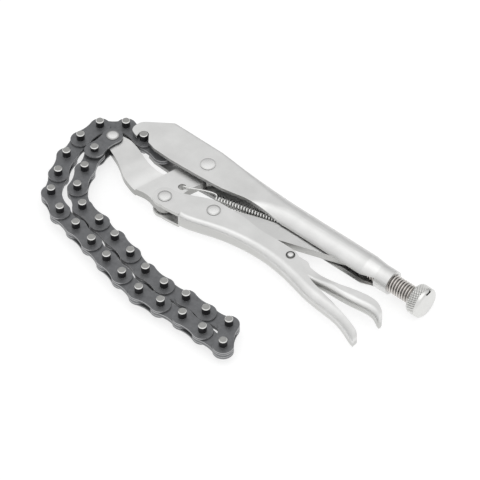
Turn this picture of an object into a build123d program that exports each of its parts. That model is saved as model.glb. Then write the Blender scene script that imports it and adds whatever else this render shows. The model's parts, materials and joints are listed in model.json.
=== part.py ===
from build123d import *
import math
import os

# Locking chain clamp, laid flat on its side with the chain hooked into its jaw.
# Modelled with the main pivot at x = y = 0, +X towards the adjusting screw and +Z up.
# At the end everything is moved so that the origin is under the middle of its box.
# Lengths are in millimetres and angles in degrees.

# Chain: side plates in pairs on long pins, the first link wider than the rest
pitch = 15.875
link_count = 30
plate_height = 12.5
plate_waist = 10.0
plate_thick = 1.35
plate_gap = 0.1
wide_gap = 5.8
pin_dia = 5.0
pin_length = 15.4
pin_bevel = 0.45
pin_play = 0.08
tail_rivet_proud = 0.5

# Chain route as link headings: out from the jaw rivet, across the far end, and back
out_headings = [-91, -69, -63, -36, -8, -12, -12.5, -14, -5, 5, -2, 7]
end_heading = -61
back_headings = [179, 178, -175.5, -176, 170.5, 167, 166.5, 168.5, 169.5, 152.5, 118, 115, 101, 85]
hook_headings = [40.66, -4.88]
tail_heading = -2

# Fixed body: folded sheet, flat cheeks in front and a closed-up grip behind
body_length = 195.4
nose_reach = 55.2
body_width = 13.6
sheet = 2.3
cheek_top = 14.0
cheek_bottom = 11.0
cheek_fold = 2.2
grip_dia = 18.6
grip_offset = 1.1
grip_slot = 7.0
ring_dia = 15.0
ring_length = 9.0
neck_length = 8.0
spine_front = 34.0
tab_thick = 2.4
tab_width = 9.0
tab_hole_dia = 2.6

# Hook notch in the two cheeks, which takes the chain's last long pin
notch_reach = 45.9
notch_drop = 6.8
notch_width = 6.1

# Adjusting screw and its knob
screw_rise = 3.4
screw_dia = 11.4
screw_length = 37.5
screw_gap = 16.1
screw_bevel = 1.2
screw_play = 0.1
tip_clearance = 2.5
knob_dia = 19.0
knob_length = 9.0
knob_bevel = 1.0
knob_spigot_dia = 7.0
knob_spigot = 6.0
knob_slot_length = 3.0
knob_slot_width = 0.9
knob_slot_depth = 0.5
knob_slot_rise = 5.7

# Lower jaw: one thick plate with a forged tongue that carries the chain
jaw_thick = 5.0
tongue_thick = 4.4
tongue_reach = 61.3
tongue_drop = 17.9
tongue_tip_dia = 8.8
pivot_eye_dia = 19.0
tie_hole_dia = 5.0
tie_hole_reach = 1.9
tie_hole_drop = 21.2

# Lever handle: a folded channel that straddles the jaw
lever_width = 11.5
lever_sheet = 2.3
lever_pivot_reach = 2.6
lever_pivot_drop = 35.8
lever_nose_dia = 14.6
lever_length = 155.0
lever_height = 31.0
jaw_eye_dia = 12.4

# Toggle link: a bar from the lever to the screw
toggle_pivot_reach = 26.9
toggle_pivot_drop = 25.4
toggle_thick = 5.0
toggle_eye_dia = 13.0
toggle_waist = 10.0
toggle_end_dia = 9.6

# Release lever inside the lever handle
release_pivot_reach = 84.3
release_pivot_drop = 22.8
release_width = 6.1
release_tail_width = 9.0
release_sheet = 1.6
release_length = 71.5
release_arm_height = 4.6

# Rivets: shank diameter, head diameter and head height
main_shank_dia = 6.4
main_head_dia = 9.6
jaw_shank_dia = 5.8
jaw_head_dia = 8.6
toggle_shank_dia = 5.8
toggle_head_dia = 8.5
release_shank_dia = 3.6
release_head_dia = 5.6
chain_shank_dia = 5.4
chain_head_dia = 8.0
head_height = 0.8
pivot_play = 0.08

# Tension spring between the lower jaw and the fixed body
wire_dia = 0.95
spring_dia = 5.8
coil_pitch = 1.85
coil_turns = 24
spring_front = 19.0
spring_front_drop = 13.7
spring_rear = 63.5
spring_rear_drop = 1.8
spring_lead = 2.3
hook_drop = 4.5
hook_tail = 2.6
tab_reach = 72.0
tab_rise = 0.6

# Length by which tools that only cut run past the work
overrun = 20.0


def turn(degrees):
    """A unit step in the XY plane at an angle from +X."""
    return Vector(math.cos(math.radians(degrees)), math.sin(math.radians(degrees)))


def heading_of(step):
    """The angle of a step in the XY plane from +X."""
    return math.degrees(math.atan2(step.Y, step.X))


def scaled(shares, length, height, start):
    """Outline points from shares of a length and a height, measured from a start point."""
    return [(start.X + a * length, start.Y + b * height) for a, b in shares]


def rounded_face(points, round_share=0.45, largest=None):
    """A face whose corners are arcs as large as the two runs beside each allow."""
    count = len(points)
    corners = [Vector(*p) for p in points]
    radii = []
    for i in range(count):
        before, here, after = corners[i - 1], corners[i], corners[(i + 1) % count]
        first, second = here - before, after - here
        bend = math.radians(first.get_angle(second))
        room = round_share * min(first.length, second.length) / math.tan(bend / 2)
        radii.append(min(room, largest) if largest else room)
    arcs = []
    for here, before, after, radius in zip(
        corners, corners[-1:] + corners[:-1], corners[1:] + corners[:1], radii
    ):
        back, ahead = (before - here).normalized(), (after - here).normalized()
        half = math.radians(back.get_angle(ahead)) / 2
        reach = radius / math.tan(half)
        middle = (back + ahead).normalized() * (radius / math.sin(half) - radius)
        arcs.append((here + back * reach, here + middle, here + ahead * reach))
    edges = []
    for i, (enter, middle, leave) in enumerate(arcs):
        edges.append(ThreePointArc(enter, middle, leave))
        edges.append(Line(leave, arcs[(i + 1) % count][0]))
    return make_face(Wire(edges))


def slab(face, thick, middle):
    """A face on the XY plane made into a plate centred on a height."""
    return extrude(Pos(0, 0, middle - thick / 2) * face, thick)


def post(at, dia, height, middle):
    """A round bar along Z through a point, centred on a height."""
    return Pos(at.X, at.Y, middle) * Cylinder(dia / 2, height)


def rivet(at, shank_dia, head_dia, grip, middle):
    """A rivet along Z with a low domed head on each side of what it grips."""
    head, rim = head_dia / 2, head_height / 3
    rise = head_height - rim
    ball = (head**2 + rise**2) / (2 * rise)
    disc = Cylinder(head, head_height, align=(Align.CENTER, Align.CENTER, Align.MIN))
    cap = disc & (Pos(0, 0, head_height - ball) * Sphere(ball))
    low = Pos(0, 0, -grip / 2) * Rot(180, 0, 0) * cap
    solid = Cylinder(shank_dia / 2, grip) + Pos(0, 0, grip / 2) * cap + low
    return Pos(at.X, at.Y, middle) * solid


# Heights and places shared by several pieces
tool_mid = max(knob_dia, grip_dia) / 2
main_pivot = Vector(0, 0)
jaw_rivet_at = Vector(-tongue_reach, -tongue_drop)
notch_at = Vector(-notch_reach, -notch_drop)
lever_pivot = Vector(-lever_pivot_reach, -lever_pivot_drop)
toggle_pivot = Vector(toggle_pivot_reach, -toggle_pivot_drop)
release_pivot = Vector(release_pivot_reach, -release_pivot_drop)
tie_hole_at = Vector(-tie_hole_reach, -tie_hole_drop)
ring_end = body_length - nose_reach
knob_start = ring_end + screw_gap
screw_tip = knob_start - screw_length
toggle_end = Vector(screw_tip - tip_clearance - toggle_end_dia / 2, screw_rise)
grip_centre = screw_rise - grip_offset
cheek_gap = body_width - 2 * sheet
lever_gap = lever_width - 2 * lever_sheet


def chain_route():
    """Pin places: an outward and a return run of set shapes, turned so that they close on the notch."""
    out = [turn(heading) * pitch for heading in out_headings + [end_heading]]
    back = [turn(heading) * pitch for heading in back_headings + hook_headings]
    out_span, back_span = sum(out, Vector()), sum(back, Vector())
    base = notch_at - jaw_rivet_at
    sides = out_span.length**2 + base.length**2 - back_span.length**2
    opening = math.degrees(math.acos(sides / (2 * out_span.length * base.length)))
    corner = jaw_rivet_at + turn(heading_of(base) - opening) * out_span.length
    places = [jaw_rivet_at]
    for steps, span, run in ((out, out_span, corner - jaw_rivet_at), (back, back_span, notch_at - corner)):
        for step in steps:
            places.append(places[-1] + step.rotate(Axis.Z, heading_of(run) - heading_of(span)))
    places.append(notch_at + turn(tail_heading) * pitch)
    return places


pins = chain_route()
lean_line = (notch_at - jaw_rivet_at).normalized()
lean_away = Vector(lean_line.Y, -lean_line.X)
chain_reach = max((p - jaw_rivet_at).dot(lean_away) for p in pins)
lean = math.degrees(math.asin((tool_mid - pin_length / 2) / (chain_reach + pin_dia / 2)))
lean_axis = Axis((jaw_rivet_at.X, jaw_rivet_at.Y, tool_mid), (lean_line.X, lean_line.Y, 0))


def plate_sketch():
    """A chain side plate with round heads and a drawn-in waist, its pin places at 0 and at one pitch."""
    head, waist, half = plate_height / 2, plate_waist / 2, pitch / 2
    scoop = (half**2 + waist**2 - head**2) / (2 * (head - waist))
    scoop_rise = waist + scoop
    along, up = half * head / (head + scoop), scoop_rise * head / (head + scoop)
    outline = Circle(head) + Pos(pitch, 0) * Circle(head)
    outline += Pos(half, 0) * Rectangle(pitch - 2 * along, 2 * up)
    outline -= Pos(half, scoop_rise) * Circle(scoop)
    outline -= Pos(half, -scoop_rise) * Circle(scoop)
    return outline


def long_pin():
    """A chain pin along Z with bevelled ends."""
    pin = Cylinder(pin_dia / 2, pin_length)
    return chamfer(pin.edges(), pin_bevel)


def link_plates(inner_face, hole_dia):
    """The two plates of a link, each starting at a distance from the chain's mid-plane."""
    face = plate_sketch()
    if hole_dia:
        face -= Circle(hole_dia / 2) + Pos(pitch, 0) * Circle(hole_dia / 2)
    plate = extrude(face, plate_thick)
    return [Pos(0, 0, inner_face) * plate, Pos(0, 0, -inner_face - plate_thick) * plate]


def outer_link():
    """Two plates with a pin riveted through each end."""
    low, high = link_plates(plate_thick + plate_gap, 0)
    return [low + high + long_pin() + Pos(pitch, 0, 0) * long_pin()]


def inner_link():
    """Two plates back to back that turn on the neighbours' pins."""
    return link_plates(0, pin_dia + 2 * pin_play)


def wide_link():
    """The first link, wide enough to straddle the jaw's tongue."""
    plates = link_plates(wide_gap / 2, 0)
    body = plates[0] + plates[1] + Pos(pitch, 0, 0) * long_pin()
    return [body - Cylinder(chain_shank_dia / 2, pin_length)]


def tail_link():
    """The last pair of plates, held together at the tail by a short rivet."""
    face = plate_sketch() - Circle(pin_dia / 2 + pin_play)
    plates = slab(face, 2 * plate_thick, 0)
    return [plates + Pos(pitch, 0, 0) * Cylinder(pin_dia / 2, 2 * (plate_thick + tail_rivet_proud))]


def lay(solids, number):
    """Chain pieces put on the route at a link and leaned down to the bench."""
    here, there = pins[number - 1], pins[number]
    turned = Rot(0, 0, heading_of(there - here))
    placed = [Pos(here.X, here.Y, tool_mid) * turned * s for s in solids]
    return [s.rotate(lean_axis, lean) for s in placed]


def chain_link(number):
    """The solids of one chain link, counted from the jaw."""
    if number == 1:
        return lay(wide_link(), number)
    if number == link_count:
        return lay(tail_link(), number)
    return lay(outer_link() if number % 2 else inner_link(), number)


def chain_rivet():
    """The polished rivet that holds the first link on the tongue."""
    grip = wide_gap + 2 * plate_thick
    solid = rivet(jaw_rivet_at, chain_shank_dia, chain_head_dia, grip, tool_mid)
    return [solid.rotate(lean_axis, lean)]


def grip_section(x, top, bottom, width, corner):
    """A rounded section of the body across X, from a bottom to a top height along Y."""
    centre = Vector(x, (top + bottom) / 2, tool_mid)
    plane = Plane(origin=centre, x_dir=(0, 1, 0), z_dir=(1, 0, 0))
    return plane * RectangleRounded(top - bottom, width, corner)


# Shares along the body, from the pivot to the ring, at which its section changes
section_shares = [0.0, 0.086, 0.17, 0.26, 0.35, 0.44, 0.52]
# How far each section has gone from the flat front to the round grip
rounding_shares = [0.0, 0.0, 0.14, 0.44, 0.78, 0.97, 1.0]
# How far the top edge has come down from the cheek to the grip
top_shares = [0.0, 0.5, 0.85, 0.98, 1.0, 1.0, 1.0]
# Cheek outline: shares of the body length behind the nose, and of the cheek height above its edge
cheek_shares = [
    (0.004, 0.46),
    (0.096, 1.0),
    (0.2, 1.3),
    (0.8, 1.3),
    (0.8, -0.6),
    (0.66, -0.6),
    (0.63, 0.192),
    (0.55, 0.192),
    (0.459, 0.156),
    (0.383, 0.056),
    (0.281, 0.0),
    (0.179, -0.032),
    (0.11, -0.016),
    (0.08, 0.04),
    (0.03, 0.02),
    (0.006, 0.1),
    (0.0, 0.22),
]
# Where the window between the cheeks narrows to the grip's slot, as a share of the way to the ring
window_share = 0.36
# Mouth of the notch: shares of the notch width from its centre
mouth_shares = [
    (-0.5, 0.0),
    (0.0, 0.3),
    (0.375, 0.33),
    (1.08, -0.49),
    (2.03, -0.75),
    (2.9, -1.0),
    (1.5, -3.0),
    (-0.2, -3.0),
    (-0.28, -1.4),
]


def body_sections(inset):
    """Sections from the flat front to the round grip, drawn in by an inset."""
    grip_top, grip_low = grip_centre + grip_dia / 2, grip_centre - grip_dia / 2
    faces = []
    for along, rounding, drop in zip(section_shares, rounding_shares, top_shares):
        top = cheek_top + (grip_top - cheek_top) * drop - inset
        low = grip_low - (1 - rounding) * overrun / 2 + inset
        width = body_width + (grip_dia - body_width) * rounding - 2 * inset
        corner = cheek_fold + (grip_dia / 2 - cheek_fold) * rounding - inset
        corner = min(max(corner, cheek_fold / 4), width / 2 * 0.995)
        faces.append(grip_section(along * ring_end, top, low, width, corner))
    return faces


def body_shell(inset):
    """The whole body as a solid, from the nose to the start of the neck, drawn in by an inset."""
    faces = body_sections(inset)
    front = extrude(faces[0], nose_reach + overrun, dir=(-1, 0, 0))
    middle = loft(faces[:2], ruled=True) + loft(faces[1:])
    neck_start = ring_end - ring_length - neck_length
    back = extrude(faces[-1], neck_start - section_shares[-1] * ring_end, dir=(1, 0, 0))
    return front + middle + back


def screw_bar(start, end, dia):
    """A round bar on the screw's axis."""
    bar = Cylinder(dia / 2, end - start, align=(Align.CENTER, Align.CENTER, Align.MIN))
    return Pos(start, screw_rise, tool_mid) * Rot(0, 90, 0) * bar


def neck(inset):
    """The necked-down end between the grip and the ring."""
    start = ring_end - ring_length - neck_length
    radius = grip_dia / 2 - inset
    wide = Plane(origin=(start, grip_centre, tool_mid), z_dir=(1, 0, 0)) * Circle(radius)
    ring_radius = ring_dia / 2 if not inset else screw_dia / 2 + screw_play
    narrow = Plane(origin=(ring_end - ring_length, screw_rise, tool_mid), z_dir=(1, 0, 0)) * Circle(ring_radius)
    return loft([wide, narrow])


def fixed_body():
    """Cheeks with the double hook, the finger window, the grip with its slot, and the threaded ring."""
    start = ring_end - ring_length - neck_length
    outer = body_shell(0) + neck(0) + screw_bar(ring_end - ring_length, ring_end, ring_dia)
    cavity = body_shell(sheet) + neck(sheet)
    window_end = window_share * ring_end
    window = Box(window_end + nose_reach + overrun, overrun, cheek_gap)
    window = Pos((window_end - nose_reach - overrun) / 2, grip_centre - grip_dia / 2, tool_mid) * window
    slot_plan = [(window_end, cheek_gap / 2), (window_end + neck_length, grip_slot / 2)]
    slot_plan += [(start + neck_length, grip_slot / 2)]
    slot_plan += [(x, -half) for x, half in reversed(slot_plan)]
    slot = Plane.XZ * make_face(Polyline(*slot_plan, close=True))
    slot = Pos(0, grip_centre - grip_dia / 2, tool_mid) * extrude(slot, sheet + grip_slot / 2, both=True)
    slanted = Pos(-spine_front - overrun, 0, tool_mid) * Box(2 * overrun, 4 * cheek_top, cheek_gap)
    outline = rounded_face(
        scaled(cheek_shares, body_length, cheek_top + cheek_bottom, Vector(-nose_reach, -cheek_bottom)),
        largest=cheek_top,
    )
    body = outer - cavity - window - slot - slanted
    front = slab(outline, 2 * grip_dia, tool_mid)
    keep = Pos(ring_end, 0, tool_mid) * Box(ring_end, 4 * grip_dia, 2 * grip_dia)
    body = body & (front + keep)
    body -= screw_bar(start, ring_end + overrun, screw_dia + 2 * screw_play)
    mouth = make_face(Polyline(*scaled(mouth_shares, notch_width, notch_width, notch_at), close=True))
    body -= slab(mouth, 2 * body_width, tool_mid) + post(notch_at, notch_width, 2 * body_width, tool_mid)
    body -= post(main_pivot, main_shank_dia, 2 * body_width, tool_mid)
    tab_low, tab_high = tab_rise - tab_hole_dia, grip_centre + grip_dia / 2 - sheet
    tab = Pos(tab_reach, (tab_low + tab_high) / 2, tool_mid) * Box(tab_thick, tab_high - tab_low, tab_width)
    hole = Pos(tab_reach, tab_rise, tool_mid) * Rot(0, 90, 0) * Cylinder(tab_hole_dia / 2, overrun)
    return [body + (tab - hole)]


# Lower jaw outline: shares of the tongue's reach and of the lever pivot's drop from the main pivot
jaw_shares = [
    (-0.987, -0.374),
    (-0.84, -0.344),
    (-0.742, -0.388),
    (-0.643, -0.453),
    (-0.582, -0.497),
    (-0.498, -0.547),
    (-0.418, -0.573),
    (-0.331, -0.573),
    (-0.279, -0.55),
    (-0.233, -0.299),
    (-0.147, -0.067),
    (0.0, 0.0),
    (0.106, -0.19),
    (0.039, -0.578),
    (0.036, -0.782),
    (0.055, -0.972),
    (0.024, -1.128),
    (-0.078, -1.168),
    (-0.228, -1.095),
    (-0.372, -1.145),
    (-0.44, -1.126),
    (-0.543, -1.073),
    (-0.608, -1.006),
    (-0.664, -0.939),
    (-0.754, -0.849),
    (-0.855, -0.779),
    (-0.956, -0.707),
    (-1.047, -0.595),
    (-1.065, -0.475),
]
# The part of the jaw that is drawn down to the tongue, in the same shares
tongue_shares = [
    (-0.359, -1.159),
    (-0.233, -0.279),
    (-0.653, 0.0),
    (-1.223, 0.0),
    (-1.223, -0.838),
    (-0.653, -1.257),
]
# Top of the tongue from the crease to the chain: shares of its length and of its thickness
arch_shares = [(-0.5, 0.24), (0.0, 0.26), (0.17, 0.53), (0.42, 0.62), (0.74, 0.53), (1.4, 0.5)]
# Lever handle lips and web: shares of the lever's length and height from the lever pivot
lip_shares = [
    (-0.041, 0.09),
    (-0.009, 0.219),
    (0.026, 0.245),
    (0.062, 0.323),
    (0.139, 0.516),
    (0.172, 0.565),
    (0.314, 0.584),
    (0.372, 0.539),
    (0.417, 0.535),
    (0.486, 0.558),
    (0.568, 0.552),
    (0.597, 0.484),
    (0.625, 0.394),
    (0.658, 0.281),
    (0.712, 0.171),
    (0.743, 0.135),
    (0.905, -0.058),
    (0.988, -0.213),
    (1.004, -0.297),
    (1.001, -0.432),
]
web_shares = [
    (0.101, -0.19),
    (0.204, -0.065),
    (0.301, 0.068),
    (0.397, 0.132),
    (0.468, 0.135),
    (0.559, 0.084),
    (0.658, -0.029),
    (0.785, -0.142),
    (0.905, -0.232),
    (0.978, -0.381),
]
# Fold of the handle at each place of its web, as shares of half its width
fold_shares = [0.5, 0.52, 0.56, 0.62, 0.7, 0.8, 0.9, 0.96, 0.97, 0.97, 0.97]
# Release lever top and lower edge: shares of its length and arm height from its pin
release_top_shares = [
    (-0.284, 0.065),
    (-0.116, 0.391),
    (0.0, 0.913),
    (0.143, 0.978),
    (0.185, 0.435),
    (0.324, 0.217),
    (0.464, 0.326),
    (0.604, 0.978),
    (0.744, 1.413),
    (0.856, 1.348),
    (0.954, 0.326),
    (0.996, -0.87),
]
release_low_shares = [
    (0.958, -0.957),
    (0.891, -0.413),
    (0.765, -0.348),
    (0.639, -0.63),
    (0.471, -0.783),
    (0.29, -1.022),
    (0.15, -1.196),
    (0.0, -1.043),
    (-0.116, -0.978),
    (-0.284, -0.913),
]
# Toggle bar edges: shares of its length from the rivet, and of its waist
toggle_shares = [
    (0.0, 0.6),
    (0.12, 0.72),
    (0.3, 0.76),
    (0.55, 0.66),
    (0.8, 0.52),
    (1.0, 0.48),
    (1.0, -0.48),
    (0.3, -0.5),
    (0.0, -0.6),
]
# Where the release lever starts to widen and where it has its full width, as shares of its length
flare_shares = [0.3, 0.44]
release_fold_share = 0.4
# How round the tips of both handles are, as a share of their width
tip_round_share = 0.46


def tongue_block():
    """A bent bar across the jaw whose arched section the tongue is cut from."""
    foot, head = [Vector(*p) for p in scaled(tongue_shares[:2], tongue_reach, lever_pivot_drop, main_pivot)]
    crease = (head - foot).normalized()
    away = Vector(-crease.Y, crease.X)
    reach = (jaw_rivet_at - foot).dot(away)
    top = scaled(arch_shares, reach, tongue_thick, main_pivot)
    low = [(x, y - tongue_thick) for x, y in reversed(top)]
    start = foot - crease * (overrun * 2)
    plane = Plane(origin=(start.X, start.Y, tool_mid), x_dir=(away.X, away.Y, 0), z_dir=(crease.X, crease.Y, 0))
    return extrude(plane * rounded_face(top + low, largest=tongue_reach), 6 * overrun)


def lower_jaw():
    """The jaw plate with its two eyes, the tongue and the spring's hole."""
    outline = rounded_face(scaled(jaw_shares, tongue_reach, lever_pivot_drop, main_pivot))
    outline += Pos(main_pivot) * Circle(pivot_eye_dia / 2)
    outline += Pos(lever_pivot) * Circle(jaw_eye_dia / 2)
    outline += Pos(jaw_rivet_at) * Circle(tongue_tip_dia / 2)
    zone = make_face(Polyline(*scaled(tongue_shares, tongue_reach, lever_pivot_drop, main_pivot), close=True))
    plate = slab(outline - zone, jaw_thick, tool_mid)
    tongue = slab(outline & zone, 2 * jaw_thick, tool_mid) & tongue_block()
    jaw = plate + tongue
    jaw -= post(main_pivot, main_shank_dia + 2 * pivot_play, 2 * jaw_thick, tool_mid)
    jaw -= post(lever_pivot, jaw_shank_dia + 2 * pivot_play, 2 * jaw_thick, tool_mid)
    jaw -= post(tie_hole_at, tie_hole_dia, 2 * jaw_thick, tool_mid)
    bore = post(jaw_rivet_at, chain_shank_dia + 2 * pivot_play, 2 * jaw_thick, tool_mid)
    return [jaw - bore.rotate(lean_axis, lean)]


def folded_channel(stations, outline, tip, tip_width):
    """A bent channel's outer form: rounded sections over its web, trimmed to a side outline and a round tip."""
    sections = []
    for x, low, width, fold in stations:
        plane = Plane(origin=(x, low + overrun, tool_mid), x_dir=(0, 1, 0), z_dir=(1, 0, 0))
        sections.append(plane * RectangleRounded(2 * overrun, width, fold))
    length = tip - stations[0][0] + overrun
    plan = Plane.XZ * RectangleRounded(length, tip_width, tip_round_share * tip_width)
    plan = Pos(tip - length / 2, stations[0][1], tool_mid) * extrude(plan, 4 * overrun, both=True)
    return loft(sections) & slab(outline, 2 * tip_width, tool_mid) & plan


def lever_handle():
    """A folded channel: two cheeks round the jaw, then a web under them to the closed round tip."""
    lips = scaled(lip_shares, lever_length, lever_height, lever_pivot)
    web = scaled(web_shares, lever_length, lever_height, lever_pivot)
    nose = lever_nose_dia / 2
    front = rounded_face([(lever_pivot.X, lever_pivot.Y - nose)] + lips[:7] + web[1::-1], largest=lever_length)
    front += Pos(lever_pivot) * Circle(nose)
    tip = lips[-1][0]
    rear = rounded_face(
        lips[3:-1] + [(tip, web[-1][1] - overrun), (web[0][0] - overrun, web[-1][1] - overrun)],
        largest=lever_length,
    )
    places = web + [(tip + sheet, web[-1][1] - sheet / 2)]
    stations = [(x, low, lever_width, share * lever_width / 2) for (x, low), share in zip(places, fold_shares)]
    split = Pos(web[0][0] - 2 * overrun, lever_pivot.Y, tool_mid) * Box(4 * overrun, 4 * overrun, 4 * overrun)
    blank = (slab(front, lever_width, tool_mid) & split) + folded_channel(stations, rear, tip, lever_width)
    floor = [(x, y + lever_sheet) for x, y in web]
    end = (floor[-2][0], floor[-2][1] + lever_sheet / 2)
    inside = [(lever_pivot.X - overrun, -overrun / 4), (lever_pivot.X - overrun, floor[0][1])]
    inside += floor[:-2] + [end, (end[0], -overrun / 4)]
    cavity = slab(make_face(Polyline(*inside, close=True)), lever_gap, tool_mid)
    opening = Pos(web[0][0] - overrun, lever_pivot.Y, tool_mid) * Box(2 * overrun, 2 * overrun, lever_gap)
    lever = blank - cavity - opening
    for at, dia in (
        (lever_pivot, jaw_shank_dia),
        (toggle_pivot, toggle_shank_dia),
        (release_pivot, release_shank_dia),
    ):
        lever -= post(at, dia, 2 * lever_width, tool_mid)
    return [lever]


def release_width_at(x):
    """Width of the release lever at a place along it: narrow at its arm and wide at its tail."""
    narrow_until, wide_from = flare_shares
    along = (x - release_pivot.X) / release_length
    wide = min(max((along - narrow_until) / (wide_from - narrow_until), 0), 1)
    return release_width + (release_tail_width - release_width) * wide


def release_lever():
    """A small folded lever, narrow at its pin and wide at its tail, open on the side of the grip."""
    top = scaled(release_top_shares, release_length, release_arm_height, release_pivot)
    low = scaled(release_low_shares, release_length, release_arm_height, release_pivot)
    web = low[::-1]
    tip = top[-1][0]
    stations = [(x, y, release_width_at(x), release_fold_share * release_width_at(x)) for x, y in web]
    last = stations[-1]
    first = stations[0]
    stations = [(first[0] - release_sheet,) + first[1:]] + stations + [(tip + release_sheet,) + last[1:]]
    solid = folded_channel(stations, rounded_face(top + low), tip, release_tail_width)
    floor = [(x, y + release_sheet) for x, y in web[1:-1]]
    above = [(floor[-1][0], release_pivot.Y + overrun), (floor[0][0], release_pivot.Y + overrun)]
    hollow = slab(rounded_face(floor + above, largest=release_length), 2 * release_tail_width, tool_mid)
    edge = [(x, release_width_at(x) / 2 - release_sheet) for x, _ in floor]
    plan = Plane.XZ * make_face(Polyline(*(edge + [(x, -half) for x, half in reversed(edge)]), close=True))
    inner = hollow & (Pos(0, release_pivot.Y, tool_mid) * extrude(plan, 2 * overrun, both=True))
    solid -= inner
    return [solid - post(release_pivot, release_shank_dia + 2 * pivot_play, 2 * lever_width, tool_mid)]


def toggle_link():
    """The bar that carries the clamping push from the lever to the screw."""
    along = toggle_end - toggle_pivot
    points = [(a * along.length, b * toggle_waist) for a, b in toggle_shares]
    bar = rounded_face(points, largest=along.length)
    bar += Circle(toggle_eye_dia / 2) + Pos(along.length, 0) * Circle(toggle_end_dia / 2)
    heading = math.degrees(math.atan2(along.Y, along.X))
    placed = Pos(toggle_pivot) * Rot(0, 0, heading) * bar
    link = slab(placed, toggle_thick, tool_mid)
    return [link - post(toggle_pivot, toggle_shank_dia + 2 * pivot_play, 2 * toggle_thick, tool_mid)]


def biarc(start, start_way, end, end_way):
    """Two arcs that join two points and keep the direction at each."""
    span = end - start
    both = start_way + end_way
    fold = 2 * (1 - start_way.dot(end_way))
    if fold < 1e-9:
        reach = span.dot(span) / (2 * span.dot(both))
    else:
        reach = (math.sqrt(span.dot(both) ** 2 + fold * span.dot(span)) - span.dot(both)) / fold
    join = (start + end + (start_way - end_way) * reach) / 2
    edges = []
    for a, b, corner in ((start, join, start + start_way * reach), (join, end, end - end_way * reach)):
        middle = (a + b) / 2
        rise = corner - middle
        half_chord = (b - a).length / 2
        if rise.length < half_chord / 1000:
            edges.append(Line(a, b))
            continue
        quarter = math.atan2(rise.length, half_chord) / 2
        edges.append(ThreePointArc(a, middle + rise.normalized() * half_chord * math.tan(quarter), b))
    return edges


def spring_stations():
    """Points and directions along the spring wire: hook, lead, curls, lead and hook."""
    start = Vector(spring_front, -spring_front_drop, tool_mid)
    aim = Vector(spring_rear, -spring_rear_drop, tool_mid)
    along = (aim - start).normalized()
    across = along.cross(Vector(0, 0, 1))
    up = Vector(0, 0, 1)
    radius = (spring_dia - wire_dia) / 2
    way = (across * radius + along * (coil_pitch / (2 * math.pi))).normalized()
    over = tool_mid + jaw_thick / 2 + wire_dia
    hole = Vector(tie_hole_at.X, tie_hole_at.Y, over)
    toward = (Vector(start.X, start.Y, over) - hole).normalized()
    stations = [(hole - up * hook_drop, up)]
    stations.append((hole - up * spring_lead / 2, up))
    stations.append((hole + toward * spring_lead / 2, toward))
    entry = start - along * spring_lead - across * (spring_lead / 2)
    stations.append((Vector(entry.X, entry.Y, over) - toward * spring_lead, toward))
    for half in range(2 * coil_turns + 1):
        side = 1 if half % 2 == 0 else -1
        at = start + along * (coil_pitch * half / 2) + up * (radius * side)
        stations.append((at, (across * (radius * side) + along * (coil_pitch / (2 * math.pi))).normalized()))
    tab = Vector(tab_reach, tab_rise, tool_mid)
    ahead = Vector(1, 0, 0)
    stations.append((tab - ahead * spring_lead, ahead))
    stations.append((tab + ahead * spring_lead / 2, ahead))
    stations.append((tab + ahead * spring_lead + up * spring_lead / 2, up))
    stations.append((tab + ahead * spring_lead + up * hook_tail, up))
    return stations


def jaw_spring():
    """One unbroken wire swept through every curl, with its least gap to itself printed."""
    stations = spring_stations()
    edges = []
    for (a, a_way), (b, b_way) in zip(stations, stations[1:]):
        edges += biarc(a, a_way, b, b_way)
    first, way = stations[0]
    path = Wire(edges)
    solid = sweep(Plane(origin=first, z_dir=way) * Circle(wire_dia / 2), path=path)
    samples = [e.position_at(step / 4) for e in edges for step in range(4)]
    walked = [0.0]
    for a, b in zip(samples, samples[1:]):
        walked.append(walked[-1] + (b - a).length)
    least = min(
        (samples[i] - samples[j]).length
        for i in range(len(samples))
        for j in range(i)
        if walked[i] - walked[j] > 4 * wire_dia
    )
    print("spring wire least gap to itself", round(least - wire_dia, 2), "mm over", len(edges), "arcs")
    return [solid]


def adjusting_screw():
    """The screw: a bevelled bar with a spigot that the knob turns on."""
    bar = screw_bar(screw_tip, knob_start, screw_dia)
    bar = chamfer(bar.edges(), screw_bevel)
    return [bar + screw_bar(knob_start - screw_bevel, knob_start + knob_spigot, knob_spigot_dia)]


def screw_knob():
    """The round knob at the end of the screw, with a short mark cut in its end."""
    knob = chamfer(screw_bar(knob_start, knob_start + knob_length, knob_dia).edges(), knob_bevel)
    knob -= screw_bar(knob_start - overrun, knob_start + knob_spigot + pin_play, knob_spigot_dia + 2 * pivot_play)
    mark = Box(2 * knob_slot_depth, knob_slot_width, knob_slot_length)
    return [knob - Pos(knob_start + knob_length, screw_rise, tool_mid + knob_slot_rise) * mark]


def tool_rivet(at, shank_dia, head_dia, grip):
    """A rivet through the tool, centred on its middle height."""
    return [rivet(at, shank_dia, head_dia, grip, tool_mid)]


pieces = {
    "fixed_body": fixed_body(),
    "main_pivot_rivet": tool_rivet(main_pivot, main_shank_dia, main_head_dia, body_width),
    "lower_jaw": lower_jaw(),
    "lever_handle": lever_handle(),
    "jaw_rivet": tool_rivet(lever_pivot, jaw_shank_dia, jaw_head_dia, lever_width),
    "toggle_rivet": tool_rivet(toggle_pivot, toggle_shank_dia, toggle_head_dia, lever_width),
    "release_pin": tool_rivet(release_pivot, release_shank_dia, release_head_dia, lever_width),
    "release_lever": release_lever(),
    "toggle_link": toggle_link(),
    "jaw_spring": jaw_spring(),
    "adjusting_screw": adjusting_screw(),
    "screw_knob": screw_knob(),
    "chain_rivet": chain_rivet(),
}
for number in range(1, link_count + 1):
    pieces["link_%02d" % number] = chain_link(number)

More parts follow.
